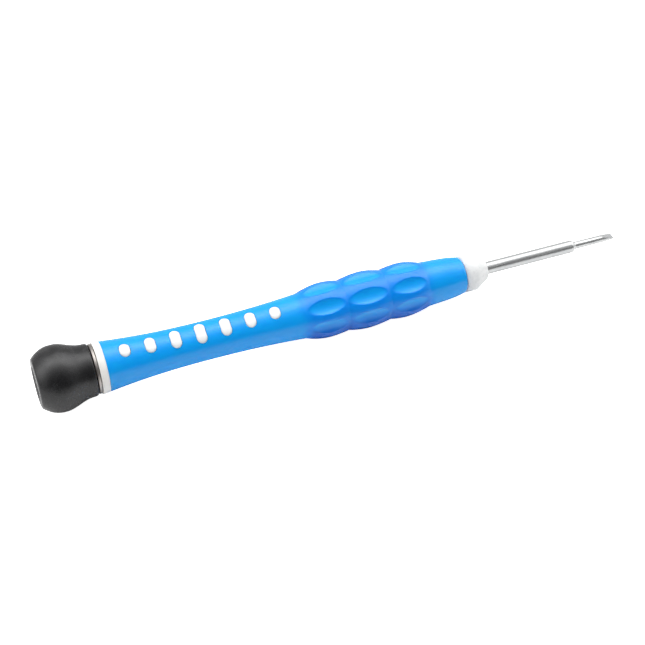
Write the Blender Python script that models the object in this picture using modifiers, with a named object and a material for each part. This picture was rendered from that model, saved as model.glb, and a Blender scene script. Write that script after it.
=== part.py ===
"""Watchmaker's screwdriver with a ball-bearing swivel cap.

The tool lies on a table with its axis along +X: the slotted tip points to +X and the swivel cap is at -X.
The origin is under the middle of the tool, at table height.  Stations along the tool are millimetres from
the cap's rear face, and radii are millimetres from the tool's axis.
"""
import math

import bmesh
import bpy
from mathutils import Matrix, Vector

MM = 0.001

# Driving dimensions, in millimetres.
LENGTH = 140.0                  # overall, cap to slotted tip
CAP_RADIUS = 7.575              # fullest part of the swivel cap, which the tool lies on
CAP_LENGTH = 12.6
HUB_RADIUS = 4.95               # hard insert of the cap
HUB_RIB = 5.3                   # its rib, which locks the soft cover on
COLLAR_START = 13.6
COLLAR_END = 15.3
COLLAR_RADIUS = 5.9
SLEEVE_END = 100.8
WAIST_STATION = 39.6
WAIST_RADIUS = 4.45
FLARE_RADIUS = 5.75             # sleeve where it meets the collar
CORE_RADIUS = 3.3               # hard core that the sleeve is moulded over
CORE_BORE = 1.9
NECK_START = 96.3               # the core's neck, which the nose is pressed over
NECK_RADIUS = 2.6
PLUG_RADIUS = 2.9               # spigot of the end plug, inside the core
PLUG_END = 26.0
NOSE_START = 100.9
NOSE_END = 106.7
NOSE_RADIUS = 4.35
BLADE_ROOT = 66.0
SHAFT_RADIUS = 1.5
ROD_RADIUS = 0.9
WINGS = (5.0, 4.6, 1.0)         # flat wings swaged on the blade's root: length, width, thickness
SHOULDER_STATION = 129.1        # the thick shaft steps down to the thin rod here
FLATS_START = 136.6
TIP_THICKNESS = 0.36

FIT = 0.05                      # gap between pieces pressed or glued together
SEGMENTS = 40                   # facets around a turned piece
INNER_SEGMENTS = 24             # facets around the small pieces inside the cap

# The three bulges of the grip: peak station, peak radius, and how far a scoop's floor lies from the axis
# at the bulge's middle, with the floor's slope along the tool.
BULGES = (
    (66.7, 6.50, 5.86, 0.055),
    (76.4, 6.68, 6.05, 0.010),
    (86.1, 6.42, 5.81, -0.050),
)
BULGE_REAR = (61.2, 5.27)       # where the waist runs into the first bulge
VALLEYS = ((71.3, 5.86), (81.5, 5.83))
BULGE_FRONT = (91.2, 5.24)      # where the last bulge runs into the front cone
SCOOPS_AROUND = 8
SCOOP_CURVE = 4.8               # radius of the hollow across a scoop
SCOOP_HALF_WIDTH = 2.3
SCOOP_HALF_LENGTH = 4.85        # no more than half the bulges' pitch, so that the cutters stay apart

# Seven windows in each of two opposite rows, through which nubs of the core show.
WINDOW_FIRST = 20.0
WINDOW_PITCH = 5.77
WINDOW_WIDTH = 2.4
WINDOW_LENGTHS = (3.15, 3.75, 4.35, 4.85, 4.35, 3.75, 3.1)
WINDOW_ANGLES = (23.0, 203.0)   # degrees from straight up, towards -Y
WINDOW_SLANT = 1.0              # degrees that a window leans, its upper end towards the tip
NUB_PROUD = 0.2

# Miniature ball bearing, 3 x 8 x 3 mm.
BEARING_START = 9.3
BEARING_WIDTH = 3.0
BEARING_BORE = 1.5
BEARING_OUTSIDE = 4.0
BALL_COUNT = 7
BALL_RADIUS = 0.72
BALL_PITCH_RADIUS = 2.75
GROOVE_RADIUS = 0.78
INNER_SHOULDER = 2.25
OUTER_SHOULDER = 3.25
PIVOT_RADIUS = BEARING_BORE - 0.02
THREAD_RADIUS = 1.23            # the pivot screw's thread, drawn plain


def new_collection(name):
    collection = bpy.data.collections.new(name)
    bpy.context.scene.collection.children.link(collection)
    return collection


def clear_scene():
    for obj in list(bpy.data.objects):
        bpy.data.objects.remove(obj, do_unlink=True)


def material(name, colour, roughness, metallic=0.0):
    finish = bpy.data.materials.new(name)
    finish.use_nodes = True
    finish.diffuse_color = (*colour, 1.0)
    shader = finish.node_tree.nodes["Principled BSDF"]
    shader.inputs["Base Color"].default_value = (*colour, 1.0)
    shader.inputs["Roughness"].default_value = roughness
    shader.inputs["Metallic"].default_value = metallic
    return finish


def place(obj, collection):
    """Put an object in its collection, with its origin on the tool's axis at the cap's rear face."""
    collection.objects.link(obj)
    obj.location = (-LENGTH / 2 * MM, 0.0, CAP_RADIUS * MM)


def turned(name, outline, collection, finish=None, segments=SEGMENTS):
    """A round piece on the tool's axis.

    The outline holds (station, radius) points: from the tip end down the outer side to the cap end, and
    back up the bore if there is one.
    """
    mesh = bpy.data.meshes.new(name)
    points = [(radius * MM, 0.0, station * MM) for station, radius in outline]
    edges = [(i, i + 1) for i in range(len(points) - 1)]
    if min(radius for station, radius in outline) > 0.0:
        edges.append((len(points) - 1, 0))
    mesh.from_pydata(points, edges, [])
    if finish:
        mesh.materials.append(finish)
    obj = bpy.data.objects.new(name, mesh)
    place(obj, collection)
    obj.rotation_euler = (0.0, math.pi / 2, 0.0)
    screw = obj.modifiers.new("turn", "SCREW")
    screw.axis = "Z"
    screw.steps = segments
    screw.render_steps = segments
    screw.use_merge_vertices = True
    screw.merge_threshold = 1e-6
    screw.use_smooth_shade = True
    return obj


def from_bmesh(name, shape, collection, finish=None):
    """An object from a bmesh that was drawn in millimetres from the cap's rear face."""
    bmesh.ops.scale(shape, verts=shape.verts, vec=Vector((MM, MM, MM)))
    bmesh.ops.recalc_face_normals(shape, faces=shape.faces)
    mesh = bpy.data.meshes.new(name)
    shape.to_mesh(mesh)
    shape.free()
    if finish:
        mesh.materials.append(finish)
    obj = bpy.data.objects.new(name, mesh)
    place(obj, collection)
    return obj


def as_cutter(obj):
    obj.hide_render = True
    obj.display_type = "WIRE"
    return obj


def boolean(obj, tool, operation):
    step = obj.modifiers.new(operation.lower(), "BOOLEAN")
    step.operation = operation
    step.solver = "EXACT"
    step.object = tool


def extrude_outline(shape, corners, offset):
    """Add a prism to the bmesh: a closed outline of corners, extruded by an offset."""
    verts = [shape.verts.new(corner) for corner in corners]
    base = shape.faces.new(verts)
    grown = bmesh.ops.extrude_face_region(shape, geom=[base])
    top = [item for item in grown["geom"] if isinstance(item, bmesh.types.BMVert)]
    bmesh.ops.translate(shape, verts=top, vec=offset)
    return verts + top


def plain_ring(front, rear, outer, inner):
    """Outline of a square-edged ring."""
    return [(front, inner), (front, outer), (rear, outer), (rear, inner)]


def chamfered_ring(front, rear, outer, inner, chamfer):
    """Outline of a ring with small chamfers on its outer edges."""
    return [
        (front, inner),
        (front, outer - chamfer),
        (front - chamfer, outer),
        (rear + chamfer, outer),
        (rear, outer - chamfer),
        (rear, inner),
    ]


# ---- The grip's outline -------------------------------------------------------------------------------

def waist_radius(station):
    """Trumpet flare behind the waist, and the gentle rise in front of it."""
    if station < WAIST_STATION:
        share = (WAIST_STATION - station) / (WAIST_STATION - COLLAR_END)
        return WAIST_RADIUS + (FLARE_RADIUS - WAIST_RADIUS) * share ** 2.3
    share = (station - WAIST_STATION) / (BULGE_REAR[0] - WAIST_STATION)
    return WAIST_RADIUS + (BULGE_REAR[1] - WAIST_RADIUS) * share ** 2.1


def bulge_side(peak, end, station):
    """One flank of a bulge, a full curve that falls from its peak to its end."""
    share = (station - peak[0]) / (end[0] - peak[0])
    return peak[1] - (peak[1] - end[1]) * share ** 1.75


def cone_radius(station):
    """Front cone from the last bulge to the lip, straight at first and then drawn in."""
    share = (station - BULGE_FRONT[0]) / (SLEEVE_END - BULGE_FRONT[0])
    return BULGE_FRONT[1] - 0.60 * share - 0.53 * share ** 5.6


def steps(start, end, count):
    """Evenly spaced stations from the start, with the end left for the next stretch."""
    return [start + (end - start) * i / count for i in range(count)]


def sleeve_outside(waist_steps=10, flank_steps=3, cone_steps=3):
    """Outer side of the grip sleeve as (station, radius), from the cap end to the lip."""
    start = COLLAR_END + FIT
    side = [(x, waist_radius(x)) for x in steps(start, BULGE_REAR[0], waist_steps)]
    lows = (BULGE_REAR, *VALLEYS, BULGE_FRONT)
    for bulge, low, high in zip(BULGES, lows, lows[1:]):
        peak = bulge[:2]
        side += [(x, bulge_side(peak, low, x)) for x in steps(low[0], peak[0], flank_steps)]
        side += [(x, bulge_side(peak, high, x)) for x in steps(peak[0], high[0], flank_steps)]
    lip = 0.8
    side += [(x, cone_radius(x)) for x in steps(BULGE_FRONT[0], SLEEVE_END - lip, cone_steps)]
    edge = cone_radius(SLEEVE_END - lip)
    for i in range(4):
        angle = math.radians(30 * i)
        side.append((SLEEVE_END - lip + lip * math.sin(angle), edge - 0.55 * (1 - math.cos(angle))))
    return side


# ---- Grip ---------------------------------------------------------------------------------------------

def scoop_cutters(collection):
    """Eight hollow scoops around each bulge, each one a bar with a round underside."""
    shape = bmesh.new()
    arc_steps = 7
    reach = math.asin(SCOOP_HALF_WIDTH / SCOOP_CURVE)
    for station, _, floor, slope in BULGES:
        corners = []
        for i in range(arc_steps + 1):
            angle = reach * (2 * i / arc_steps - 1)
            height = floor + SCOOP_CURVE * (1 - math.cos(angle))
            corners.append(Vector((-SCOOP_HALF_LENGTH, SCOOP_CURVE * math.sin(angle), height)))
        top = CAP_RADIUS + 1.0
        corners.append(Vector((-SCOOP_HALF_LENGTH, SCOOP_HALF_WIDTH, top)))
        corners.append(Vector((-SCOOP_HALF_LENGTH, -SCOOP_HALF_WIDTH, top)))
        for k in range(SCOOPS_AROUND):
            verts = extrude_outline(shape, corners, Vector((2 * SCOOP_HALF_LENGTH, 0.0, 0.0)))
            for vert in verts:
                vert.co.z += slope * vert.co.x
            turn = Matrix.Rotation(math.tau * k / SCOOPS_AROUND, 4, "X")
            bmesh.ops.transform(shape, verts=verts, matrix=Matrix.Translation((station, 0, 0)) @ turn)
    return as_cutter(from_bmesh("scoop_cutters", shape, collection))


def window_prisms(name, spare, collection):
    """A round-ended bar for each window, standing out from near the tool's axis."""
    shape = bmesh.new()
    segments = 20
    inside = 0.5
    outside = 9.0
    for row in WINDOW_ANGLES:
        for i, length in enumerate(WINDOW_LENGTHS):
            end = WINDOW_WIDTH / 2 + spare
            straight = length / 2 - WINDOW_WIDTH / 2
            corners = []
            for k in range(segments):
                angle = math.tau * (k + 0.5) / segments
                y = end * math.sin(angle)
                corners.append(Vector((end * math.cos(angle), y + math.copysign(straight, y), inside)))
            verts = extrude_outline(shape, corners, Vector((0.0, 0.0, outside - inside)))
            lean = Matrix.Rotation(math.radians(-WINDOW_SLANT), 4, "Z")
            turn = Matrix.Rotation(math.radians(row), 4, "X")
            shift = Matrix.Translation((WINDOW_FIRST + WINDOW_PITCH * i, 0, 0))
            bmesh.ops.transform(shape, verts=verts, matrix=shift @ turn @ lean)
    return as_cutter(from_bmesh(name, shape, collection))


def grip_sleeve(parts, cutters):
    """Soft blue sleeve moulded over the hard core."""
    outside = list(reversed(sleeve_outside()))
    bore = [(COLLAR_END + FIT, CORE_RADIUS + FIT), (SLEEVE_END, CORE_RADIUS + FIT)]
    blue = material("blue_elastomer", (0.0, 0.28, 0.85), 0.4)
    sleeve = turned("grip_sleeve", outside + bore, parts, blue)
    boolean(sleeve, scoop_cutters(cutters), "DIFFERENCE")
    boolean(sleeve, window_prisms("window_cutters", FIT, cutters), "DIFFERENCE")


def handle_core(parts, cutters):
    """Hard white core with the nubs that fill the sleeve's windows, and the seat of the blade's wings."""
    rear = COLLAR_END + 0.15
    plug_pocket = PLUG_END + 0.5
    neck_end = NOSE_START + 0.1
    outline = [
        (neck_end, NECK_RADIUS),
        (NECK_START, NECK_RADIUS),
        (NECK_START, CORE_RADIUS),
        (rear, CORE_RADIUS),
        (rear, PLUG_RADIUS + FIT),
        (plug_pocket, PLUG_RADIUS + FIT),
        (plug_pocket, CORE_BORE),
        (BLADE_ROOT - 2.0, CORE_BORE),
        (BLADE_ROOT - 0.5, SHAFT_RADIUS + FIT),
        (neck_end, SHAFT_RADIUS + FIT),
    ]
    white = material("core_white", (0.86, 0.87, 0.86), 0.35)
    core = turned("handle_core", outline, parts, white)
    nub_start = WINDOW_FIRST - WINDOW_WIDTH
    nub_end = WINDOW_FIRST + len(WINDOW_LENGTHS) * WINDOW_PITCH
    crown = [(x, waist_radius(x) + NUB_PROUD) for x in steps(nub_start, nub_end, 14)]
    sunk = CORE_RADIUS - 0.15
    crown = [*reversed(crown), (crown[0][0], sunk), (crown[-1][0], sunk)]
    envelope = as_cutter(turned("nub_crown", crown, cutters))
    nubs = window_prisms("window_nubs", 0.0, cutters)
    boolean(nubs, envelope, "INTERSECT")
    boolean(core, nubs, "UNION")
    boolean(core, wing_block("wing_seat", 0.1, cutters), "DIFFERENCE")


def wing_block(name, spare, collection):
    """The flat wings swaged on the blade's root, which keep it from turning in the core."""
    shape = bmesh.new()
    size = Matrix.Diagonal([side + 2 * spare for side in WINGS] + [1.0])
    spot = Matrix.Translation((BLADE_ROOT + 6.0, 0, 0))
    bmesh.ops.create_cube(shape, size=1.0, matrix=spot @ size)
    return as_cutter(from_bmesh(name, shape, collection))


def nose_ferrule(parts):
    """Translucent nose pressed over the core's neck, which steadies the blade."""
    outline = [
        (NOSE_END, 2.35),
        (NOSE_END - 0.1, 2.6),
        (NOSE_END - 0.4, 2.85),
        (104.4, 3.85),
        (103.9, 4.2),
        (103.5, NOSE_RADIUS),
        (NOSE_START + 0.1, NOSE_RADIUS),
        (NOSE_START, NOSE_RADIUS - 0.1),
        (NOSE_START, CORE_RADIUS),
        (NECK_START + 0.1, CORE_RADIUS),
        (NECK_START + 0.1, NECK_RADIUS + FIT),
        (NOSE_START + 0.2, NECK_RADIUS + FIT),
        (NOSE_START + 0.2, SHAFT_RADIUS + FIT),
        (NOSE_END, SHAFT_RADIUS + FIT),
    ]
    nylon = material("nose_nylon", (0.80, 0.82, 0.82), 0.3)
    turned("nose_ferrule", outline, parts, nylon)


def end_plug(parts):
    """White plug whose flange is the collar behind the sleeve; the pivot screw bites in its spigot."""
    thread_start = COLLAR_END + 0.2
    thread_end = PLUG_END - 4.0
    outline = [
        (PLUG_END, 0.0),
        (PLUG_END, PLUG_RADIUS - 0.3),
        (PLUG_END - 0.3, PLUG_RADIUS),
        (COLLAR_END, PLUG_RADIUS),
        (COLLAR_END, FLARE_RADIUS - 0.1),
        (COLLAR_END - 0.1, FLARE_RADIUS),
        (COLLAR_START + 0.15, COLLAR_RADIUS),
        (COLLAR_START, COLLAR_RADIUS - 0.15),
        (COLLAR_START, PIVOT_RADIUS + FIT),
        (thread_start, PIVOT_RADIUS + FIT),
        (thread_start, THREAD_RADIUS + FIT),
        (thread_end, THREAD_RADIUS + FIT),
        (thread_end, 0.0),
    ]
    white = material("plug_white", (0.85, 0.84, 0.80), 0.4)
    turned("end_plug", outline, parts, white)


def blade(parts, cutters):
    """Steel blade: thick shaft, shoulder, thin rod and a slotted tip ground on two sides."""
    outline = [
        (LENGTH, 0.0),
        (LENGTH, ROD_RADIUS - 0.04),
        (LENGTH - 0.04, ROD_RADIUS),
        (SHOULDER_STATION + 0.95, ROD_RADIUS),
        (SHOULDER_STATION + 0.75, ROD_RADIUS + 0.08),
        (SHOULDER_STATION + 0.2, SHAFT_RADIUS - 0.08),
        (SHOULDER_STATION, SHAFT_RADIUS),
        (BLADE_ROOT + 0.3, SHAFT_RADIUS),
        (BLADE_ROOT, SHAFT_RADIUS - 0.3),
        (BLADE_ROOT, 0.0),
    ]
    steel = material("blade_steel", (0.72, 0.73, 0.74), 0.2, 1.0)
    shaft = turned("blade", outline, parts, steel)
    boolean(shaft, wing_block("blade_wings", 0.0, cutters), "UNION")
    shape = bmesh.new()
    for side in (1, -1):
        corners = [
            Vector((FLATS_START, -2, side * ROD_RADIUS)),
            Vector((LENGTH + 1, -2, side * ground_height(LENGTH + 1))),
            Vector((LENGTH + 1, -2, side * 2)),
            Vector((FLATS_START, -2, side * 2)),
        ]
        corners[1:1] = [
            Vector((x, -2, side * ground_height(x))) for x in steps(FLATS_START, LENGTH, 4)[1:]
        ]
        extrude_outline(shape, corners, Vector((0, 4, 0)))
    boolean(shaft, as_cutter(from_bmesh("tip_grind", shape, cutters)), "DIFFERENCE")


def ground_height(station):
    """Half thickness of the tip, hollow ground from the full rod to the slotted edge."""
    share = (station - FLATS_START) / (LENGTH - FLATS_START)
    thin = TIP_THICKNESS / 2
    return thin + (ROD_RADIUS - thin) * max(0.0, 1 - share) ** 1.35


# ---- Swivel cap and its bearing -----------------------------------------------------------------------

def cap_outside(steps_each=6):
    """Outer side of the cap as (station, radius), from its waist by the collar back to the rear rim."""
    bulge = 5.0
    waist = 11.6
    waist_size = 6.0
    side = []
    for station in steps(waist, bulge, steps_each):
        share = (waist - station) / (waist - bulge)
        side.append((station, waist_size + (CAP_RADIUS - waist_size) * (1 - math.cos(math.pi * share)) / 2))
    rear_size = 5.45
    for station in steps(bulge, 0.15, steps_each):
        share = (bulge - station) / bulge
        side.append((station, rear_size + (CAP_RADIUS - rear_size) * (1 - share ** 2.3)))
    return side


def cap_cover(parts):
    """Black soft cover of the swivel cap, with a shallow dish for the fingertip."""
    bore = HUB_RADIUS + FIT
    outline = [
        (2.45, 0.0),
        (2.45, bore),
        (6.15, bore),
        (6.2, HUB_RIB + FIT),
        (7.25, HUB_RIB + FIT),
        (7.3, bore),
        (CAP_LENGTH, bore),
        (CAP_LENGTH, 5.7),
        (CAP_LENGTH - 0.2, 5.9),
        *cap_outside(),
        (0.15, 5.4),
        (0.0, 4.95),
        (0.0, 4.15),
        (0.35, 3.7),
        (0.45, 0.0),
    ]
    black = material("cap_rubber", (0.03, 0.03, 0.03), 0.5)
    turned("cap_cover", outline, parts, black)


def cap_hub(parts):
    """Hard insert of the cap, with the pocket that the bearing is pressed in."""
    screw_pocket = 6.4
    bearing_seat = BEARING_START - 0.15
    front = CAP_LENGTH - 0.2
    outline = [
        (screw_pocket, 0.0),
        (screw_pocket, 2.9),
        (bearing_seat, 2.9),
        (bearing_seat, BEARING_OUTSIDE + 0.03),
        (front, BEARING_OUTSIDE + 0.03),
        (front, HUB_RADIUS - 0.1),
        (front - 0.1, HUB_RADIUS),
        (7.25, HUB_RADIUS),
        (7.2, HUB_RIB),
        (6.25, HUB_RIB),
        (6.2, HUB_RADIUS),
        (2.6, HUB_RADIUS),
        (2.5, HUB_RADIUS - 0.1),
        (2.5, 0.0),
    ]
    grey = material("hub_plastic", (0.12, 0.12, 0.13), 0.4)
    turned("cap_hub", outline, parts, grey, INNER_SEGMENTS)


def groove(shoulder, inward):
    """Arc of a raceway as (offset from the bearing's middle, radius), for either race."""
    reach = math.acos(abs(BALL_PITCH_RADIUS - shoulder) / GROOVE_RADIUS)
    points = []
    for i in range(7):
        angle = reach * (1 - i / 3)
        radius = BALL_PITCH_RADIUS - inward * GROOVE_RADIUS * math.cos(angle)
        points.append((GROOVE_RADIUS * math.sin(angle), radius))
    return points


def bearing(parts):
    """Two races, a ribbon cage, seven balls and two dust shields."""
    front = BEARING_START + BEARING_WIDTH
    middle = BEARING_START + BEARING_WIDTH / 2
    steel = material("bearing_steel", (0.66, 0.66, 0.67), 0.22, 1.0)
    inner = [(front, BEARING_BORE + 0.03), (front, INNER_SHOULDER)]
    inner += [(middle + offset, radius) for offset, radius in groove(INNER_SHOULDER, 1)]
    inner += [(BEARING_START, INNER_SHOULDER), (BEARING_START, BEARING_BORE + 0.03)]
    turned("bearing_inner_race", inner, parts, steel, INNER_SEGMENTS)
    outer = [(front, BEARING_OUTSIDE - 0.12), (front - 0.1, BEARING_OUTSIDE - 0.02)]
    outer += [(BEARING_START + 0.1, BEARING_OUTSIDE - 0.02), (BEARING_START, BEARING_OUTSIDE - 0.12)]
    outer += [(BEARING_START, OUTER_SHOULDER)]
    outer += [(middle - offset, radius) for offset, radius in groove(OUTER_SHOULDER, -1)]
    outer += [(front, OUTER_SHOULDER)]
    turned("bearing_outer_race", outer, parts, steel, INNER_SEGMENTS)
    shield_steel = material("shield_steel", (0.55, 0.55, 0.56), 0.3, 1.0)
    thick = 0.2
    inset = 0.08
    for end, station in (("rear", BEARING_START + inset), ("front", front - inset - thick)):
        shield = plain_ring(station + thick, station, OUTER_SHOULDER - FIT, INNER_SHOULDER + 0.1)
        turned(f"bearing_shield_{end}", shield, parts, shield_steel, INNER_SEGMENTS)
    ball_steel = material("ball_steel", (0.75, 0.75, 0.76), 0.1, 1.0)
    for number in range(1, BALL_COUNT + 1):
        shape = bmesh.new()
        bmesh.ops.create_uvsphere(shape, u_segments=10, v_segments=6, radius=BALL_RADIUS)
        turn = Matrix.Rotation(math.tau * (number - 1) / BALL_COUNT, 4, "X")
        spot = Matrix.Translation((middle, 0, 0)) @ turn @ Matrix.Translation((0, 0, BALL_PITCH_RADIUS))
        bmesh.ops.transform(shape, verts=shape.verts, matrix=spot)
        from_bmesh(f"bearing_ball_{number}", shape, parts, ball_steel)


def bearing_cage(parts, cutters):
    """Ribbon cage that keeps the seven balls apart."""
    middle = BEARING_START + BEARING_WIDTH / 2
    cage_brass = material("cage_brass", (0.60, 0.46, 0.22), 0.35, 1.0)
    cage_outline = plain_ring(middle + 1.05, middle - 1.05, 3.05, 2.5)
    cage = turned("bearing_cage", cage_outline, parts, cage_brass, INNER_SEGMENTS)
    shape = bmesh.new()
    for k in range(BALL_COUNT):
        turn = Matrix.Rotation(math.tau * k / BALL_COUNT, 4, "X")
        spot = Matrix.Translation((middle, 0, 0)) @ turn @ Matrix.Translation((0, 0, BALL_PITCH_RADIUS))
        size = BALL_RADIUS + 0.08
        bmesh.ops.create_cone(
            shape, cap_ends=True, segments=16, radius1=size, radius2=size, depth=2.0, matrix=spot
        )
    boolean(cage, as_cutter(from_bmesh("cage_pockets", shape, cutters)), "DIFFERENCE")


def pivot_screw(parts, cutters):
    """Steel shoulder screw that the bearing's inner race sits on, driven into the end plug."""
    head_rear = 8.0
    head_front = BEARING_START - FIT
    head_radius = 2.15
    end = 21.5
    outline = [
        (end, 0.0),
        (end, THREAD_RADIUS - 0.33),
        (end - 0.4, THREAD_RADIUS),
        (COLLAR_END + 0.15, THREAD_RADIUS),
        (COLLAR_END + 0.15, PIVOT_RADIUS),
        (head_front, PIVOT_RADIUS),
        (head_front, head_radius),
        (head_rear + 0.3, head_radius),
        (head_rear, head_radius - 0.3),
        (head_rear, 0.0),
    ]
    steel = material("screw_steel", (0.62, 0.62, 0.63), 0.25, 1.0)
    screw = turned("pivot_screw", outline, parts, steel, INNER_SEGMENTS)
    shape = bmesh.new()
    slot = Matrix.Translation((head_rear, 0, 0)) @ Matrix.Diagonal((1.1, 6.0, 0.6, 1.0))
    bmesh.ops.create_cube(shape, size=1.0, matrix=slot)
    boolean(screw, as_cutter(from_bmesh("screw_slot", shape, cutters)), "DIFFERENCE")


def washers(parts):
    """Bright trim washer seen between cap and collar, and the shim that spaces it from the inner race."""
    bright = material("washer_steel", (0.58, 0.57, 0.56), 0.25, 1.0)
    turned("trim_washer", chamfered_ring(13.5, 12.78, 5.65, PIVOT_RADIUS + FIT, 0.1), parts, bright)
    brass = material("shim_brass", (0.68, 0.52, 0.25), 0.35, 1.0)
    shim = plain_ring(12.7, 12.36, 2.2, PIVOT_RADIUS + FIT)
    turned("bearing_shim", shim, parts, brass, INNER_SEGMENTS)


def main():
    clear_scene()
    parts = new_collection("watchmaker_screwdriver")
    cutters = new_collection("cutters")
    grip_sleeve(parts, cutters)
    handle_core(parts, cutters)
    nose_ferrule(parts)
    end_plug(parts)
    blade(parts, cutters)
    cap_cover(parts)
    cap_hub(parts)
    bearing(parts)
    bearing_cage(parts, cutters)
    pivot_screw(parts, cutters)
    washers(parts)


main()
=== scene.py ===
"""Looks of a watchmaker's screwdriver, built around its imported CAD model.

The tool's axis runs along +X.  Stations are millimetres along the tool from the swivel cap's rear face,
radii are millimetres from the axis, and angles round the tool run from straight up towards -Y.
"""
import math

import bmesh
import bpy
import numpy as np
from mathutils import Matrix, Vector


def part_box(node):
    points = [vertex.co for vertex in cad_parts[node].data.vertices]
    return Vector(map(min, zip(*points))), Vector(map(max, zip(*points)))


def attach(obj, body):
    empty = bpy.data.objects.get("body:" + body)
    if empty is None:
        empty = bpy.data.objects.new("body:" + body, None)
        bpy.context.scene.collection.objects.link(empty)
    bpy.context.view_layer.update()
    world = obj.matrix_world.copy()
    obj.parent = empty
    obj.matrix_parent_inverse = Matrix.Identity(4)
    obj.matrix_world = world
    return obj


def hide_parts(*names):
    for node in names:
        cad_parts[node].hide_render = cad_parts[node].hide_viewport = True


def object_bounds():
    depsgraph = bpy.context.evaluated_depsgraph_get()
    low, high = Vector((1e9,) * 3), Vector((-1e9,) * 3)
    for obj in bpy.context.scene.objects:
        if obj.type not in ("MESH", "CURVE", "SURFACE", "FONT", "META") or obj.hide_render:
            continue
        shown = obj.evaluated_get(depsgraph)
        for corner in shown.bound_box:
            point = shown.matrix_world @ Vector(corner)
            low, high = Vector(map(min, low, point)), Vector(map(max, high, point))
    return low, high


MM = 0.001

# The grip sleeve's outside, in millimetres.
SLEEVE_START = 15.35
SLEEVE_END = 100.8
SLEEVE_LIP = 0.8                # length of the rounded front lip
LIP_DROP = 0.55                 # how far the lip turns in
FLARE_START = 15.3
FLARE_RISE = 1.3                # from the waist back to the collar
FLARE_POWER = 2.3
WAIST_STATION = 39.6
WAIST_RADIUS = 4.45
FRONT_RISE = 0.82               # from the waist to the first bulge
FRONT_POWER = 2.1
BULGES = ((66.7, 6.50), (76.4, 6.68), (86.1, 6.42))         # each peak's station and radius
BULGE_LOWS = ((61.2, 5.27), (71.3, 5.86), (81.5, 5.83), (91.2, 5.24))
BULGE_POWER = 1.75
BULGE_REACH = 3.0               # how far behind the first low a bulge still shapes the sleeve
VALLEY_SOFTNESS = 0.10          # rounding where two bulges meet
CONE_TAPER = 0.60               # how far the front cone falls evenly
CONE_DRAW = 0.53                # and how much further it draws in towards the lip
CONE_POWER = 5.6
SCOOPS_AROUND = 8
SCOOP_CURVE = 3.7               # radius of the hollow across a scoop
SCOOP_FLOORS = ((5.78, 0.055), (5.97, 0.010), (5.73, -0.050))   # radius at each bulge's peak, and slope
EDGE_SOFTNESS = 0.05            # rounding of a scoop's edge
REAR_ROUNDING = 0.12            # rounding of the sleeve's edge at the collar

# How deep the sleeve's blue looks, from 0 to 1: deeper where the sleeve is thick, and painted shade on the
# far row of scoops and underneath.
LAND_DEPTH = 0.45               # on the thick lands between the scoops
FAR_ROW_PAINTED_SHADE = 0.72            # painted shade on the row of scoops just over the top, on the far side
# painted shade underneath the bulges
UNDERNEATH_PAINTED_SHADE = 0.85

# Windows of the sleeve and the nubs of the core in them.
WINDOW_FIRST = 20.0
WINDOW_PITCH = 5.77
WINDOW_WIDTH = 2.4
WINDOW_LENGTHS = (3.15, 3.75, 4.35, 4.85, 4.35, 3.75, 3.1)
WINDOW_ANGLES = (23.0, 203.0)   # one row on each side
WINDOW_SLANT = 1.0              # degrees, with the upper end towards the tip
WINDOW_SPARE = 0.08             # gap round a nub
WINDOW_REACH = (0.5, 9.0)       # from inside the core to clear of the sleeve
NUB_PROUD = 0.2
NUB_ROOT = 2.6
NUB_DOME = ((1.0, 0.30), (0.985, 0.20), (0.94, 0.11), (0.86, 0.045), (0.7, 0.01), (0.35, 0.0))

CORE_RADIUS = 3.3
CORE_BORE = 1.9
CORE_START = 15.45
CORE_END = 101.0
NECK_START = 96.3
NECK_RADIUS = 2.6
SPIGOT_RADIUS = 2.9
BONDED = 0.04                   # how far the moulded sleeve reaches into the core that it is bonded to
SLIP_GAP = 0.05                 # between pieces that are pushed into one another
PRESS_GAP = 0.02                # round the shaft in the nose

NOSE_ROOT = 96.4
NOSE_START = 100.9
NOSE_SEAT = 101.1
NOSE_END = 106.7
NOSE_RADIUS = 4.35

COLLAR_START = 13.6
COLLAR_END = 15.3
PIVOT_HOLE = 1.55               # radius round the pivot screw's shoulder
THREAD_HOLE = 1.3

BLADE_ROOT = 66.0
SHAFT_RADIUS = 1.5
ROD_RADIUS = 0.9
SHOULDER_STATION = 129.1
FLATS_START = 136.6
TIP_THICKNESS = 0.36
GRIND_POWER = 1.35
TOOL_LENGTH = 140.0

CAP_BULGE = (5.0, 7.575)        # station and radius
CAP_WAIST = (11.6, 6.0)
CAP_REAR_RADIUS = 5.45
CAP_FALL_POWER = 2.3            # how late the cap falls from its bulge to the rear
CAP_RIM = 12.6
CAP_BORE = 5.0
CAP_FLOOR = 2.45
CAP_GROOVE_RADIUS = 5.35        # holds the hub's rib

FLOOR_SIZE = 4.0                # metres from the middle to an edge
FLOOR_GAP = 0.00002
LIGHT_POOL_FADE = (12.0, 80.0)       # between these distances from the axis the floor darkens: a painted pool of light round the tool
RESTING_ON = (76.4, 6.40)       # where the middle bulge meets the floor, as a station and a radius

AROUND = 320                    # segments round the sleeve, a multiple of the scoops
SEGMENTS = 128                  # segments round the other pieces
PLAIN_STEP = 0.7                # between rings on the plain part of the sleeve
SCOOPED_RINGS = 196             # on the part with the scoops
SCOOPED_MARGINS = (1.7, 1.3)    # how far that part goes on past the outer lows

# The camera, which looks down at the tool's middle.
CAMERA_ELEVATION = 39.14
CAMERA_AZIMUTH = -18.26
CAMERA_ROLL = 2.76
CAMERA_DISTANCE = 0.3666
CAMERA_LENS = 89.3
CAMERA_AIM = (-0.00371, 0.0, 0.00372)
CAMERA_RAISE = 0.00023

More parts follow.
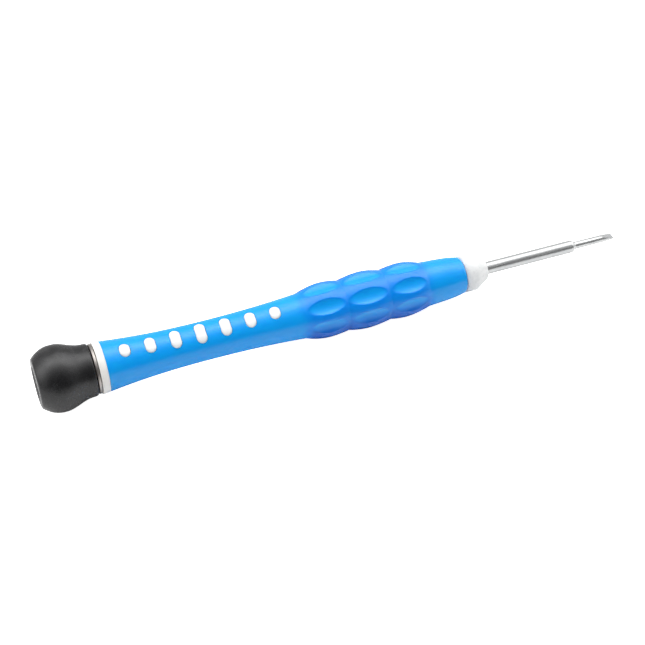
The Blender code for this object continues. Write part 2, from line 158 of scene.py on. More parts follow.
# Brightness of the studio by a direction's Y, from -1 in front of the tool to 1 behind it.
SKY = (
    (-1.0, 0.12), (-0.75, 0.16), (-0.5, 0.5), (-0.2, 1.6), (0.1, 2.9), (0.35, 2.1), (0.7, 0.75), (1.0, 0.5)
)
SKY_SCALE = 3.0                 # the curve holds values from 0 to 1
SKY_LOW = 0.6                   # the most that shines from near the horizon
SKY_HEIGHTS = (0.05, 0.5)       # between these heights that limit fades out

# The lamp over the tool, in metres and watts.
LAMP_SIZE = (0.7, 0.4)
LAMP_PLACE = (0.0, 0.22, 0.6)
LAMP_POWER = 0.5


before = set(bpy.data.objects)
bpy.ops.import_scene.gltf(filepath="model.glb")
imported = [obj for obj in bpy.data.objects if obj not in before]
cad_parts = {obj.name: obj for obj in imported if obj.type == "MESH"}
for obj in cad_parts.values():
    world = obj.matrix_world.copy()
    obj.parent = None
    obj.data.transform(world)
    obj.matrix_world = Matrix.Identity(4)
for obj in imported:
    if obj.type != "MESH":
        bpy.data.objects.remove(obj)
cad_low, cad_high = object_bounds()
blade_low, blade_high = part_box("blade")
AXIS_HEIGHT = (blade_low.z + blade_high.z) / 2
REAR_X = cad_low.x


# ---- Building meshes ------------------------------------------------------------------------------------

def rounded(corners, closed=False, steps=5):
    """A profile through (station, radius, rounding) corners.  Each is cut back by its rounding on both
    sides, and a corner without one stays sharp."""
    count = len(corners)
    points = []
    for i, (station, radius, *rounding) in enumerate(corners):
        ends = not closed and i in (0, count - 1)
        if ends or not rounding:
            points.append((station, radius))
            continue
        corner = np.array((station, radius))
        cuts = []
        for neighbour in (corners[i - 1], corners[(i + 1) % count]):
            away = np.array(neighbour[:2]) - corner
            length = np.linalg.norm(away)
            cuts.append(corner + away * min(rounding[0] / length, 0.5))
        for t in np.linspace(0.0, 1.0, steps):
            points.append(tuple(cuts[0] * (1 - t) ** 2 + corner * 2 * t * (1 - t) + cuts[1] * t ** 2))
    return points


def ring_points(station, radius, angles):
    """Points of one ring in the shared frame, where radius is a number or one value for each angle."""
    reach = np.broadcast_to(radius, angles.shape) * MM
    x = np.full(angles.shape, REAR_X + station * MM)
    return np.column_stack([x, -reach * np.sin(angles), AXIS_HEIGHT + reach * np.cos(angles)])


def ring_faces(rings, segments):
    """Quads and triangles between the following rings, each given as (first vertex, is a point)."""
    faces = []
    here = np.arange(segments)
    there = (here + 1) % segments
    for (a, a_point), (b, b_point) in rings:
        if a_point:
            faces += np.column_stack([np.full(segments, a), b + here, b + there]).tolist()
        elif b_point:
            faces += np.column_stack([a + here, np.full(segments, b), a + there]).tolist()
        else:
            faces += np.column_stack([a + here, b + here, b + there, a + there]).tolist()
    return faces


def new_object(name, points, faces):
    """A mesh object with outward normals, in the shared frame."""
    mesh = bpy.data.meshes.new(name)
    mesh.from_pydata([tuple(point) for point in points], [], faces)
    obj = bpy.data.objects.new(name, mesh)
    bpy.context.scene.collection.objects.link(obj)
    shape = bmesh.new()
    shape.from_mesh(mesh)
    bmesh.ops.recalc_face_normals(shape, faces=shape.faces)
    shape.to_mesh(mesh)
    shape.free()
    return obj


def turned(name, outline, segments=SEGMENTS):
    """A closed skin of rings round the axis.  An outline that starts and ends on the axis closes there, and
    any other joins its last ring to its first."""
    angles = np.arange(segments) * math.tau / segments
    points = []
    starts = []
    for station, radius in outline:
        on_axis = np.ndim(radius) == 0 and radius == 0
        starts.append((len(points), on_axis))
        ring = ring_points(station, radius, angles[:1] if on_axis else angles)
        points += ring.tolist()
    pairs = list(zip(starts, starts[1:]))
    if not starts[0][1]:
        pairs.append((starts[-1], starts[0]))
    return new_object(name, points, ring_faces(pairs, segments))


def carve(obj, tool, operation):
    """Apply a Boolean to the object and remove its tool."""
    step = obj.modifiers.new(operation.lower(), "BOOLEAN")
    step.operation = operation
    step.solver = "EXACT"
    step.object = tool
    graph = bpy.context.evaluated_depsgraph_get()
    mesh = bpy.data.meshes.new_from_object(obj.evaluated_get(graph), depsgraph=graph)
    obj.modifiers.clear()
    old = obj.data
    obj.data = mesh
    bpy.data.meshes.remove(old)
    bpy.data.objects.remove(tool)


def smooth(obj, sharp_over=38.0):
    """Smooth shading, with creases where faces meet at more than an angle in degrees."""
    obj.data.shade_smooth()
    obj.data.set_sharp_from_angle(angle=math.radians(sharp_over))


def dress(obj, body, node, finish):
    """Smooth a piece, give it its material and put it on its CAD body in place of a CAD node."""
    smooth(obj)
    obj.data.materials.clear()
    obj.data.materials.append(finish)
    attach(obj, body)
    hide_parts(node)


# ---- Node materials -------------------------------------------------------------------------------------

class Nodes:
    """Adds nodes to a tree and links them."""

    def __init__(self, tree):
        self.tree = tree

    def node(self, kind, settings=(), **inputs):
        """A node with its settings and inputs, where an input is a value or another node's output."""
        made = self.tree.nodes.new("ShaderNode" + kind)
        for key, value in dict(settings).items():
            setattr(made, key, value)
        for key, value in inputs.items():
            self.feed(made.inputs[key.replace("_", " ")], value)
        return made

    def feed(self, socket, value):
        if isinstance(value, bpy.types.NodeSocket):
            self.tree.links.new(value, socket)
        else:
            socket.default_value = value

    def maths(self, operation, *values):
        """The output of one sum on plain values and outputs."""
        made = self.node("Math", {"operation": operation})
        for socket, value in zip(made.inputs, values):
            self.feed(socket, value)
        return made.outputs[0]

    def blend(self, share, first, second):
        """A number between two others, each a plain value or an output."""
        made = self.node("Mix", {"data_type": "FLOAT"})
        for index, value in ((0, share), (2, first), (3, second)):
            self.feed(made.inputs[index], value)
        return made.outputs[0]


class Finish(Nodes):
    """A Principled material whose patterns are laid out in millimetres of the object's own coordinates."""

    def __init__(self, name, roughness, metallic=0.0, **plain):
        self.material = bpy.data.materials.new(name)
        self.material.use_nodes = True
        super().__init__(self.material.node_tree)
        self.shader = self.tree.nodes["Principled BSDF"]
        self.shader.inputs["Roughness"].default_value = roughness
        self.shader.inputs["Metallic"].default_value = metallic
        for key, value in plain.items():
            self.shader.inputs[key.replace("_", " ")].default_value = value

    def place(self, stretch=(1.0, 1.0, 1.0)):
        """The object's own coordinates in millimetres, stretched along the tool or across it."""
        scale = tuple(share / MM for share in stretch)
        coordinates = self.node("TexCoord").outputs["Object"]
        return self.node("Mapping", Vector=coordinates, Scale=scale).outputs["Vector"]

    def noise(self, scale, detail=3.0, stretch=(1.0, 1.0, 1.0), distortion=0.0):
        made = self.node(
            "TexNoise", Vector=self.place(stretch), Scale=scale, Detail=detail, Distortion=distortion
        )
        return made.outputs["Fac"]

    def between(self, source, low, high, start, end):
        """A value that runs from start to end as the source runs from low to high."""
        made = self.node("MapRange", Value=source)
        for key, value in (("From Min", low), ("From Max", high), ("To Min", start), ("To Max", end)):
            made.inputs[key].default_value = value
        return made.outputs["Result"]

    def mix(self, share, first, second):
        """A colour between two others, each an RGB triple or an output."""
        made = self.node("Mix", {"data_type": "RGBA"})
        self.feed(made.inputs["Factor"], share)
        for index, colour in ((6, first), (7, second)):
            plain = isinstance(colour, tuple)
            self.feed(made.inputs[index], (*colour, 1.0) if plain else colour)
        return made.outputs[2]

    def colour(self, output):
        self.feed(self.shader.inputs["Base Color"], output)

    def roughness(self, output):
        self.feed(self.shader.inputs["Roughness"], output)

    def bumps(self, *layers):
        """Stack bump layers, each a height output with its depth in millimetres."""
        normal = None
        for height, depth in layers:
            made = self.node("Bump", Height=height, Strength=1.0, Distance=depth * MM)
            if normal:
                self.feed(made.inputs["Normal"], normal)
            normal = made.outputs["Normal"]
        self.feed(self.shader.inputs["Normal"], normal)


def sleeve_finish():
    """Glossy blue elastomer, pale where thin over the white core, deep blue where thick, and painted shade
    underneath and on the far row.
    """
    made = Finish("blue_elastomer", 0.16, Subsurface_Weight=0.3, Subsurface_Scale=0.001, IOR=1.46)
    made.shader.inputs["Subsurface Radius"].default_value = (0.1, 0.5, 1.0)
    cloud = made.between(made.noise(0.3, 3.0), 0.3, 0.7, -0.05, 0.05)
    # The stored attribute holds the deeper blue of thick parts and the painted shade underneath and on the
    # far row.
    depth = made.node("Attribute", {"attribute_name": "blue_depth_and_painted_shade"}).outputs["Fac"]
    tint = made.node("ValToRGB", Fac=made.maths("ADD", depth, cloud))
    ramp = tint.color_ramp
    # Pale blue where thin; deep blue where thick and for the painted shade.
    ramp.elements[0].color = (0.002, 0.36, 0.92, 1.0)
    ramp.elements[1].color = (0.0, 0.09, 0.52, 1.0)
    middle = ramp.elements.new(0.5)
    middle.color = (0.0, 0.25, 0.85, 1.0)
    made.colour(tint.outputs["Color"])
    made.roughness(made.between(made.noise(1.4, 4.0), 0.3, 0.7, 0.12, 0.20))
    made.bumps((made.noise(0.7, 2.0), 0.006), (made.noise(7.0, 2.0), 0.001))
    return made.material


def white_finish(name, light, shade, roughness, scatter):
    """Moulded white plastic with faint flow marks and a fine grain."""
    made = Finish(name, roughness, Subsurface_Weight=scatter, Subsurface_Scale=0.0015)
    made.shader.inputs["Subsurface Radius"].default_value = (1.0, 1.0, 1.0)
    flow = made.noise(0.35, 3.0, (0.5, 1.0, 1.0), 0.6)
    made.colour(made.mix(made.between(flow, 0.35, 0.68, 0.0, 1.0), light, shade))
    made.roughness(made.between(made.noise(2.5, 3.0), 0.3, 0.7, roughness - 0.06, roughness + 0.08))
    made.bumps((made.noise(0.9, 2.0), 0.008), (made.noise(9.0, 3.0), 0.002))
    return made.material


def nose_finish():
    """Milky nylon: cloudy patches show in its depth."""
    made = Finish("nose_nylon", 0.3, Subsurface_Weight=1.0, Subsurface_Scale=0.004)
    made.shader.inputs["Subsurface Radius"].default_value = (1.0, 1.0, 1.0)
    patches = made.between(made.noise(0.42, 3.0, (1, 1, 1), 0.8), 0.42, 0.62, 0.0, 1.0)
    made.colour(made.mix(patches, (0.85, 0.86, 0.86), (0.77, 0.79, 0.79)))
    made.roughness(made.between(made.noise(1.8, 3.0), 0.3, 0.7, 0.24, 0.38))
    made.bumps((made.noise(0.45, 2.0), 0.010), (made.noise(5.0, 2.0), 0.0006))
    return made.material


def rubber_finish():
    """Black soft-touch cover, greyed here and there by dust and handling."""
    made = Finish("cap_rubber", 0.45, IOR=1.5)
    dust = made.between(made.noise(0.28, 5.0, (1, 1, 1), 0.4), 0.52, 0.78, 0.0, 1.0)
    specks = made.between(made.noise(5.5, 2.0), 0.70, 0.78, 0.0, 0.5)
    grey = made.maths("MAXIMUM", dust, specks)
    made.colour(made.mix(grey, (0.010, 0.010, 0.011), (0.040, 0.040, 0.042)))
    made.roughness(made.between(made.noise(0.5, 4.0), 0.3, 0.7, 0.20, 0.32))
    made.bumps((made.noise(0.55, 2.0), 0.015), (made.noise(12.0, 3.0), 0.002))
    return made.material


def metal_finish(name, light, shade, roughness, stretch=(1.0, 1.0, 1.0), scale=3.0, metallic=1.0):
    """Metal with streaks left by drawing, turning or rolling."""
    made = Finish(name, roughness, metallic)
    streaks = made.noise(scale, 5.0, stretch)
    tarnish = made.between(made.noise(0.3, 3.0), 0.4, 0.7, 0.0, 1.0)
    made.colour(made.mix(tarnish, light, shade))
    made.roughness(made.between(streaks, 0.3, 0.7, roughness * 0.75, roughness * 1.35))
    made.bumps((streaks, 0.001))
    return made.material


def hard_finish(name, light, shade, roughness):
    """Hard dark plastic with a fine moulded grain."""
    made = Finish(name, roughness)
    made.colour(made.mix(made.between(made.noise(0.6, 4.0), 0.35, 0.65, 0.0, 1.0), light, shade))
    made.roughness(made.between(made.noise(3.0, 3.0), 0.3, 0.7, roughness - 0.07, roughness + 0.1))
    made.bumps((made.noise(8.0, 2.0), 0.003))
    return made.material


# ---- Grip -----------------------------------------------------------------------------------------------

def smooth_min(first, second, reach):
    """The lesser of two, with the crease where they cross rounded over a reach."""
    share = np.clip(0.5 + 0.5 * (second - first) / reach, 0.0, 1.0)
    return second + (first - second) * share - reach * share * (1.0 - share)


def waist_radius(station):
    """The flare behind the waist and the gentle rise in front of it."""
    if station < WAIST_STATION:
        share = (WAIST_STATION - station) / (WAIST_STATION - FLARE_START)
        return WAIST_RADIUS + FLARE_RISE * share ** FLARE_POWER
    share = (station - WAIST_STATION) / (BULGE_LOWS[0][0] - WAIST_STATION)
    return WAIST_RADIUS + FRONT_RISE * share ** FRONT_POWER


def cone_radius(station):
    """The front cone, straight at first and drawn in towards the lip."""
    start_station, start_radius = BULGE_LOWS[-1]
    share = (station - start_station) / (SLEEVE_END - start_station)
    return start_radius - CONE_TAPER * share - CONE_DRAW * max(share, 0.0) ** CONE_POWER


def bulge_radius(number, station):
    """One bulge, which falls on either side of its peak."""
    peak_station, peak_radius = BULGES[number]
    low_station, low_radius = BULGE_LOWS[number + (station > peak_station)]
    share = abs((station - peak_station) / (low_station - peak_station))
    return peak_radius - (peak_radius - low_radius) * share ** BULGE_POWER


def round_radius(station):
    """The sleeve's outside without its scoops."""
    if station < BULGE_LOWS[0][0] - BULGE_REACH:
        return waist_radius(station)
    sides = [bulge_radius(number, station) for number in range(len(BULGES))]
    if station < BULGES[0][0]:
        sides.append(waist_radius(station))
    if station > BULGES[-1][0]:
        sides.append(cone_radius(station))
    outside = sides[0]
    for side in sides[1:]:
        outside = -smooth_min(-outside, -side, VALLEY_SOFTNESS)
    return outside


def scooped_radius(station, angles):
    """The sleeve's outside at a station, for each angle."""
    outside = round_radius(station)
    number = min(range(len(BULGES)), key=lambda i: abs(BULGES[i][0] - station))
    floor, slope = SCOOP_FLOORS[number]
    middle = floor + slope * (station - BULGES[number][0]) + SCOOP_CURVE
    pitch = math.tau / SCOOPS_AROUND
    off = (angles + pitch / 2) % pitch - pitch / 2
    inside = np.maximum(SCOOP_CURVE ** 2 - (middle * np.sin(off)) ** 2, 0.0)
    hollow = middle * np.cos(off) - np.sqrt(inside)
    return smooth_min(outside, hollow, EDGE_SOFTNESS)


def sleeve_outline():
    """Rings of the sleeve from the bore at the collar, round the outside and back along the bore."""
    angles = np.arange(AROUND) * math.tau / AROUND
    fine_start = BULGE_LOWS[0][0] - SCOOPED_MARGINS[0]
    fine_end = BULGE_LOWS[-1][0] + SCOOPED_MARGINS[1]
    bore = CORE_RADIUS - BONDED
    rear_edge = waist_radius(SLEEVE_START)
    rings = [(SLEEVE_START, bore), (SLEEVE_START, rear_edge - REAR_ROUNDING)]
    for share in (0.3, 0.7):
        rings.append((SLEEVE_START + 0.1 * share, rear_edge - REAR_ROUNDING * (1 - share) ** 2))
    plain_start = SLEEVE_START + REAR_ROUNDING
    rings += [(x, waist_radius(x)) for x in np.arange(plain_start, fine_start, PLAIN_STEP)]
    rings += [(x, scooped_radius(x, angles)) for x in np.linspace(fine_start, fine_end, SCOOPED_RINGS)]
    lip_start = SLEEVE_END - SLEEVE_LIP
    rings += [(x, cone_radius(x)) for x in np.linspace(fine_end, lip_start, 16)[1:]]
    front_edge = cone_radius(lip_start)
    for turn in np.radians((15.0, 30.0, 45.0, 60.0, 75.0, 90.0)):
        drop = LIP_DROP * (1 - math.cos(turn))
        rings.append((lip_start + SLEEVE_LIP * math.sin(turn), front_edge - drop))
    return rings + [(SLEEVE_END, bore)]


def window_places():
    """Each window's station and length, and the matrix that stands it on the tool, in millimetres from the
    rear face."""
    lean = Matrix.Rotation(math.radians(-WINDOW_SLANT), 4, "Z")
    for row in WINDOW_ANGLES:
        turn = Matrix.Rotation(math.radians(row), 4, "X")
        for number, length in enumerate(WINDOW_LENGTHS):
            station = WINDOW_FIRST + WINDOW_PITCH * number
            yield station, length, Matrix.Translation((station, 0, 0)) @ turn @ lean


def oval(length, spare, segments=48):
    """Outline of a window, round at both ends and long across the tool, with some spare room all round."""
    end = WINDOW_WIDTH / 2 + spare
    straight = length / 2 - WINDOW_WIDTH / 2
    points = []
    for k in range(segments):
        angle = math.tau * (k + 0.5) / segments
        y = end * math.sin(angle)
        points.append((end * math.cos(angle), y + math.copysign(straight, y)))
    return points


def to_frame(points, matrix):
    """Points in millimetres, placed by a matrix, in the shared frame."""
    shift = Vector((REAR_X, 0.0, AXIS_HEIGHT))
    return [tuple((matrix @ Vector(point)) * MM + shift) for point in points]


def stacked(layers):
    """A closed skin from layers of equally long outlines, capped at both ends."""
    count = len(layers[0])
    faces = [list(range(count))]
    for level in range(len(layers) - 1):
        a, b = level * count, (level + 1) * count
        faces += [[a + k, a + (k + 1) % count, b + (k + 1) % count, b + k] for k in range(count)]
    last = (len(layers) - 1) * count
    faces.append([last + k for k in range(count)])
    return [point for layer in layers for point in layer], faces


def stacks_object(name, stacks):
    """One object from several stacks, each given as its layers in millimetres and its matrix."""
    points, faces = [], []
    for layers, matrix in stacks:
        skin_points, skin_faces = stacked(layers)
        faces += [[k + len(points) for k in face] for face in skin_faces]
        points += to_frame(skin_points, matrix)
    return new_object(name, points, faces)


def window_tools():
    """One object with a bar for each window."""
    stacks = []
    for _, length, matrix in window_places():
        outline = oval(length, WINDOW_SPARE)
        stacks.append(([[(x, y, height) for x, y in outline] for height in WINDOW_REACH], matrix))
    return stacks_object("window_tools", stacks)


def nub_skins():
    """One object with a domed nub for each window."""
    stacks = []
    for station, length, matrix in window_places():
        outline = oval(length, 0.0)
        layers = [[(x, y, NUB_ROOT) for x, y in outline]]
        for share, drop in NUB_DOME:
            layer = []
            for x, y in outline:
                crown = waist_radius(station + x * share) + NUB_PROUD
                height = math.sqrt(crown ** 2 - (y * share) ** 2) - drop
                layer.append((x * share, y * share, height))
            layers.append(layer)
        stacks.append((layers, matrix))
    return stacks_object("nub_skins", stacks)


def ease(value, low, high):
    """0 up to the low value, 1 from the high one, and a soft step between."""
    share = np.clip((value - low) / (high - low), 0.0, 1.0)
    return share * share * (3.0 - 2.0 * share)


def store_depth_and_painted_shade(sleeve):
    """Store how deep the blue looks: deeper on the thick lands between scoops, with painted shade on the
    far row of scoops and the deepest painted shade underneath.  It all fades out past the bulges."""
    count = len(sleeve.data.vertices)
    spots = np.empty(count * 3)
    sleeve.data.vertices.foreach_get("co", spots)
    x, y, z = spots.reshape(-1, 3).T / MM
    station = x - REAR_X / MM
    rise = z - AXIS_HEIGHT / MM
    radius = np.hypot(y, rise)
    upward, backward = rise / radius, y / radius
    on_bulge = ease(station, BULGE_LOWS[0][0] - 2.0, BULGE_LOWS[0][0] + 1.5)
    on_bulge *= 1.0 - ease(station, BULGE_LOWS[-1][0] - 1.5, BULGE_LOWS[-1][0] + 2.0)
    cut = np.array([round_radius(float(place)) for place in station]) - radius
    land = 1.0 - ease(cut, 0.0, 0.3)
    # Painted shade: the blue is darker towards the bottom of the sleeve.
    painted_underneath_shade = 1.0 - ease(upward, -0.32, 0.16)
    # Painted shade on the row of scoops just over the top, on the far side.
    painted_far_row_shade = ease(backward, 0.25, 0.42) * ease(upward, 0.30, 0.50)
    lit = np.maximum(LAND_DEPTH * land, FAR_ROW_PAINTED_SHADE * painted_far_row_shade)
    depth = on_bulge * (lit * (1.0 - painted_underneath_shade) + UNDERNEATH_PAINTED_SHADE * painted_underneath_shade)
    sleeve.data.attributes.new("blue_depth_and_painted_shade", "FLOAT", "POINT").data.foreach_set("value", depth)


def build_grip():
    sleeve = turned("grip_sleeve_moulding", sleeve_outline(), AROUND)
    carve(sleeve, window_tools(), "DIFFERENCE")
    store_depth_and_painted_shade(sleeve)
    dress(sleeve, "handle", "grip_sleeve", sleeve_finish())
    core = turned("core_moulding", rounded([
        (CORE_END, NECK_RADIUS, 0.15),
        (NECK_START, NECK_RADIUS),
        (NECK_START, CORE_RADIUS),
        (CORE_START, CORE_RADIUS),
        (CORE_START, SPIGOT_RADIUS + SLIP_GAP),
        (26.5, SPIGOT_RADIUS + SLIP_GAP),
        (26.5, CORE_BORE),
        (64.0, CORE_BORE),
        (65.5, SHAFT_RADIUS + SLIP_GAP),
        (CORE_END, SHAFT_RADIUS + SLIP_GAP),
    ], closed=True))
    carve(core, nub_skins(), "UNION")
    white = white_finish("core_white", (0.90, 0.91, 0.91), (0.84, 0.85, 0.86), 0.34, 0.25)
    dress(core, "handle", "handle_core", white)


def build_nose():
    outline = rounded([
        (NOSE_END, 2.3, 0.12),
        (NOSE_END, 2.55, 0.2),
        (104.4, 3.85, 0.3),
        (103.6, NOSE_RADIUS, 0.35),
        (NOSE_START, NOSE_RADIUS, 0.12),
        (NOSE_START, CORE_RADIUS),
        (NOSE_ROOT, CORE_RADIUS),
        (NOSE_ROOT, NECK_RADIUS + SLIP_GAP),
        (NOSE_SEAT, NECK_RADIUS + SLIP_GAP),
        (NOSE_SEAT, SHAFT_RADIUS + PRESS_GAP),
        (NOSE_END - 0.2, SHAFT_RADIUS + PRESS_GAP),
        (NOSE_END, SHAFT_RADIUS + 0.25),
    ], closed=True)
    nose = turned("nose_moulding", outline)
    dress(nose, "handle", "nose_ferrule", nose_finish())


def build_collar():
    outline = rounded([
        (26.0, 0.0),
        (26.0, SPIGOT_RADIUS, 0.3),
        (COLLAR_END, SPIGOT_RADIUS),
        (COLLAR_END, 5.75, 0.1),
        (COLLAR_START, 5.9, 0.18),
        (COLLAR_START, PIVOT_HOLE),
        (15.5, PIVOT_HOLE),
        (15.5, THREAD_HOLE),
        (22.0, THREAD_HOLE),
        (22.0, 0.0),
    ])
    collar = turned("collar_plug", outline)
    white = white_finish("collar_white", (0.93, 0.915, 0.875), (0.90, 0.88, 0.84), 0.36, 0.15)
    dress(collar, "handle", "end_plug", white)


def build_trim():
    outline = rounded([
        (13.5, 5.5, 0.05),
        (13.42, 5.64, 0.05),
        (12.95, 5.66, 0.1),
        (12.78, 5.45, 0.05),
        (12.78, PIVOT_HOLE),
        (13.5, PIVOT_HOLE),
    ], closed=True)
    ring = turned("trim_ring", outline)
    steel = metal_finish("washer_steel", (0.46, 0.43, 0.41), (0.34, 0.31, 0.29), 0.34, (8.0, 0.6, 0.6))
    dress(ring, "handle", "trim_washer", steel)


# ---- Cap ------------------------------------------------------------------------------------------------

def cap_outline():
    """The cover's outside from its front rim back over the bulge to the dish, and its inside."""
    waist, narrow = CAP_WAIST
    bulge, wide = CAP_BULGE
    front = [(CAP_RIM, CAP_BORE), (CAP_RIM, 5.82, 0.16), (12.25, 5.93, 0.1), (waist, narrow)]
    outline = rounded(front)[1:-1]
    for share in np.linspace(0.0, 1.0, 26):
        swell = (1 - math.cos(math.pi * share)) / 2
        outline.append((waist + (bulge - waist) * share, narrow + (wide - narrow) * swell))
    for share in np.linspace(0.0, 0.97, 26)[1:]:
        fall = (wide - CAP_REAR_RADIUS) * share ** CAP_FALL_POWER
        outline.append((bulge * (1 - share), wide - fall))
    dish = [(0.1, 5.42), (0.0, 5.1, 0.16), (0.0, 4.2, 0.2), (0.35, 3.7, 0.25), (0.45, 0.0)]
    outline += rounded(dish)[1:]
    inside = [
        (CAP_FLOOR, 0.0),
        (CAP_FLOOR, CAP_BORE),
        (6.15, CAP_BORE),
        (6.2, CAP_GROOVE_RADIUS),
        (7.25, CAP_GROOVE_RADIUS),
        (7.3, CAP_BORE),
        (CAP_RIM, CAP_BORE),
    ]
    return inside + outline


def build_cap():
    cap = turned("cap_moulding", cap_outline())
    dress(cap, "swivel_cap", "cap_cover", rubber_finish())


# ---- Blade ----------------------------------------------------------------------------------------------

def ground_height(station):
    """Half thickness of the tip, hollow ground from the rod to the slotted edge."""
    share = (station - FLATS_START) / (TOOL_LENGTH - FLATS_START)
    thin = TIP_THICKNESS / 2
    return thin + (ROD_RADIUS - thin) * max(0.0, 1.0 - share) ** GRIND_POWER


def grind_tool():
    """Two hollow wedges that leave the tip's flats."""
    past_tip, clear = TOOL_LENGTH + 1.0, 2.0
    stations = [*np.linspace(FLATS_START, TOOL_LENGTH, 16), past_tip]
    wedges = []
    for side in (1, -1):
        corners = [(x, side * ground_height(x)) for x in stations]
        corners += [(past_tip, side * clear), (FLATS_START, side * clear)]
        wedges.append(([[(x, y, z) for x, z in corners] for y in (-clear, clear)], Matrix.Identity(4)))
    return stacks_object("grind_tool", wedges)


def build_blade():
    outline = rounded([
        (TOOL_LENGTH, 0.0),
        (TOOL_LENGTH, ROD_RADIUS, 0.05),
        (SHOULDER_STATION + 0.95, ROD_RADIUS, 0.1),
        (SHOULDER_STATION + 0.7, ROD_RADIUS + 0.1, 0.1),
        (SHOULDER_STATION + 0.25, SHAFT_RADIUS - 0.1, 0.15),
        (SHOULDER_STATION - 0.2, SHAFT_RADIUS, 0.25),
        (BLADE_ROOT + 0.3, SHAFT_RADIUS),
        (BLADE_ROOT, SHAFT_RADIUS - 0.3),
        (BLADE_ROOT, 0.0),
    ])
    blade = turned("blade_steel_rod", outline)
    carve(blade, grind_tool(), "DIFFERENCE")
    light, shade, drawn = (0.61, 0.62, 0.62), (0.54, 0.55, 0.56), (0.08, 5.0, 5.0)
    steel = metal_finish("blade_steel", light, shade, 0.22, drawn, scale=1.6, metallic=0.76)
    dress(blade, "handle", "blade", steel)


# ---- Pieces inside the cap, shown as the CAD model has them ---------------------------------------------

def dress_inside():
    """Give each small piece inside the cap its own finish."""
    turned_lines = (6.0, 0.7, 0.7)
    bearing = metal_finish("bearing_steel", (0.66, 0.66, 0.67), (0.56, 0.56, 0.58), 0.2, turned_lines)
    ball = metal_finish("ball_steel", (0.76, 0.76, 0.77), (0.68, 0.68, 0.70), 0.08)
    shield = metal_finish("shield_steel", (0.56, 0.56, 0.57), (0.44, 0.44, 0.46), 0.3, (1.0, 2.0, 2.0))
    brass = metal_finish("cage_brass", (0.62, 0.46, 0.20), (0.46, 0.33, 0.15), 0.32, (4.0, 1.0, 1.0))
    shim = metal_finish("shim_brass", (0.70, 0.53, 0.25), (0.55, 0.40, 0.18), 0.34)
    screw = metal_finish("screw_steel", (0.62, 0.62, 0.63), (0.50, 0.50, 0.52), 0.24, turned_lines)
    hub = hard_finish("hub_plastic", (0.10, 0.10, 0.11), (0.07, 0.07, 0.08), 0.42)
    finishes = {
        "bearing_outer_race": bearing,
        "bearing_inner_race": bearing,
        "bearing_shield_rear": shield,
        "bearing_shield_front": shield,
        "bearing_cage": brass,
        "bearing_shim": shim,
        "pivot_screw": screw,
        "cap_hub": hub,
    }
    for name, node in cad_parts.items():
        finish = ball if name.startswith("bearing_ball") else finishes.get(name)
        if finish:
            node.data.materials.clear()
            node.data.materials.append(finish)


# ---- Studio ---------------------------------------------------------------------------------------------

def build_floor():
    """A pale floor that the cap and the middle bulge both rest on.  It is plain white to the camera itself,
    and away from the tool it darkens for light and reflections: a painted pool of light round the tool."""
    cap_station, cap_radius = CAP_BULGE
    rest_station, rest_radius = RESTING_ON
    slope = math.atan((cap_radius - rest_radius) / (rest_station - cap_station))
    mesh = bpy.data.meshes.new("floor")
    corners = [(FLOOR_SIZE * x, FLOOR_SIZE * y, 0) for x, y in ((-1, -1), (1, -1), (1, 1), (-1, 1))]
    mesh.from_pydata(corners, [], [(0, 1, 2, 3)])
    floor = bpy.data.objects.new("floor", mesh)
    bpy.context.scene.collection.objects.link(floor)
    floor.location = (REAR_X + cap_station * MM, 0.0, -FLOOR_GAP)
    floor.rotation_euler = (0.0, -slope, 0.0)
    made = Finish("pale_floor", 0.9, Specular_IOR_Level=0.0)
    across = made.maths("ABSOLUTE", made.node("SeparateXYZ", Vector=made.place()).outputs["Y"])
    # Painted pool of light: the floor is pale near the tool and darker farther from its axis.
    away = made.between(across, *LIGHT_POOL_FADE, 0.0, 1.0)
    cloud = made.between(made.noise(0.02, 2.0), 0.3, 0.7, 0.0, 1.0)
    light_pool_colour = made.mix(cloud, (0.93, 0.93, 0.93), (0.96, 0.96, 0.96))
    made.colour(made.mix(away, light_pool_colour, (0.35, 0.35, 0.35)))
    made.shader.inputs["Emission Color"].default_value = (1.0, 1.0, 1.0, 1.0)
    made.feed(made.shader.inputs["Emission Strength"], made.node("LightPath").outputs["Is Camera Ray"])
    mesh.materials.append(made.material)


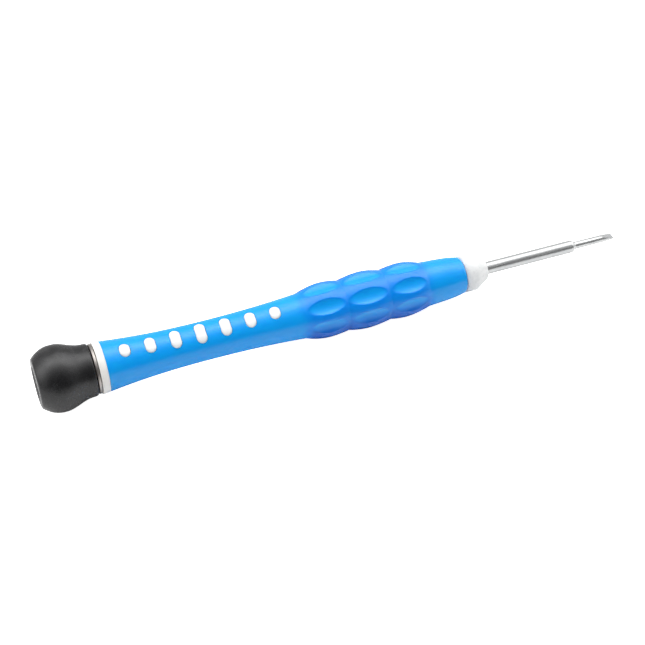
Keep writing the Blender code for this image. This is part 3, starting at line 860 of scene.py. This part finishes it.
def build_world():
    """A studio with a bright box overhead, darkness low on the camera's side and a pale wall behind.
    It is plain white to the camera itself."""
    world = bpy.data.worlds.new("studio")
    bpy.context.scene.world = world
    world.use_nodes = True
    made = Nodes(world.node_tree)
    split = made.node("SeparateXYZ", Vector=made.node("TexCoord").outputs["Generated"])
    place = made.node("MapRange", Value=split.outputs["Y"], From_Min=-1.0, From_Max=1.0)
    sky = made.node("FloatCurve", Value=place.outputs["Result"])
    curve = sky.mapping.curves[0]
    points = [((across + 1) / 2, light / SKY_SCALE) for across, light in SKY]
    curve.points[0].location = points[0]
    curve.points[-1].location = points[-1]
    for point in points[1:-1]:
        curve.points.new(*point)
    sky.mapping.update()
    bright = made.maths("MULTIPLY", sky.outputs[0], SKY_SCALE)
    dim = made.maths("MINIMUM", bright, SKY_LOW)
    low, high = SKY_HEIGHTS
    height = made.node("MapRange", Value=split.outputs["Z"], From_Min=low, From_Max=high)
    sides = made.blend(height.outputs["Result"], dim, bright)
    seen = made.blend(made.node("LightPath").outputs["Is Camera Ray"], sides, 1.0)
    made.feed(made.tree.nodes["Background"].inputs["Color"], seen)


def build_light():
    """A soft lamp over the tool, a little behind it."""
    lamp = bpy.data.lights.new("soft_lamp", "AREA")
    lamp.shape = "RECTANGLE"
    lamp.size, lamp.size_y = LAMP_SIZE
    lamp.energy = LAMP_POWER
    box = bpy.data.objects.new("soft_lamp", lamp)
    bpy.context.scene.collection.objects.link(box)
    box.location = LAMP_PLACE
    box.rotation_euler = (-box.location).to_track_quat("-Z", "Y").to_euler()


def build_camera():
    elevation, azimuth = math.radians(CAMERA_ELEVATION), math.radians(CAMERA_AZIMUTH)
    back = Vector((
        math.sin(azimuth) * math.cos(elevation),
        -math.cos(azimuth) * math.cos(elevation),
        math.sin(elevation),
    ))
    turn = back.to_track_quat("Z", "Y").to_matrix() @ Matrix.Rotation(math.radians(-CAMERA_ROLL), 3, "Z")
    data = bpy.data.cameras.new("camera")
    data.lens = CAMERA_LENS
    data.clip_start = 0.01
    camera = bpy.data.objects.new("camera", data)
    bpy.context.scene.collection.objects.link(camera)
    up = turn @ Vector((0.0, 1.0, 0.0))
    camera.location = Vector(CAMERA_AIM) + back * CAMERA_DISTANCE + up * CAMERA_RAISE
    camera.rotation_euler = turn.to_euler()
    bpy.context.scene.camera = camera


build_grip()
build_nose()
build_collar()
build_trim()
build_cap()
build_blade()
dress_inside()
build_floor()
build_world()
build_light()
build_camera()
bpy.context.scene.view_settings.view_transform = "Standard"
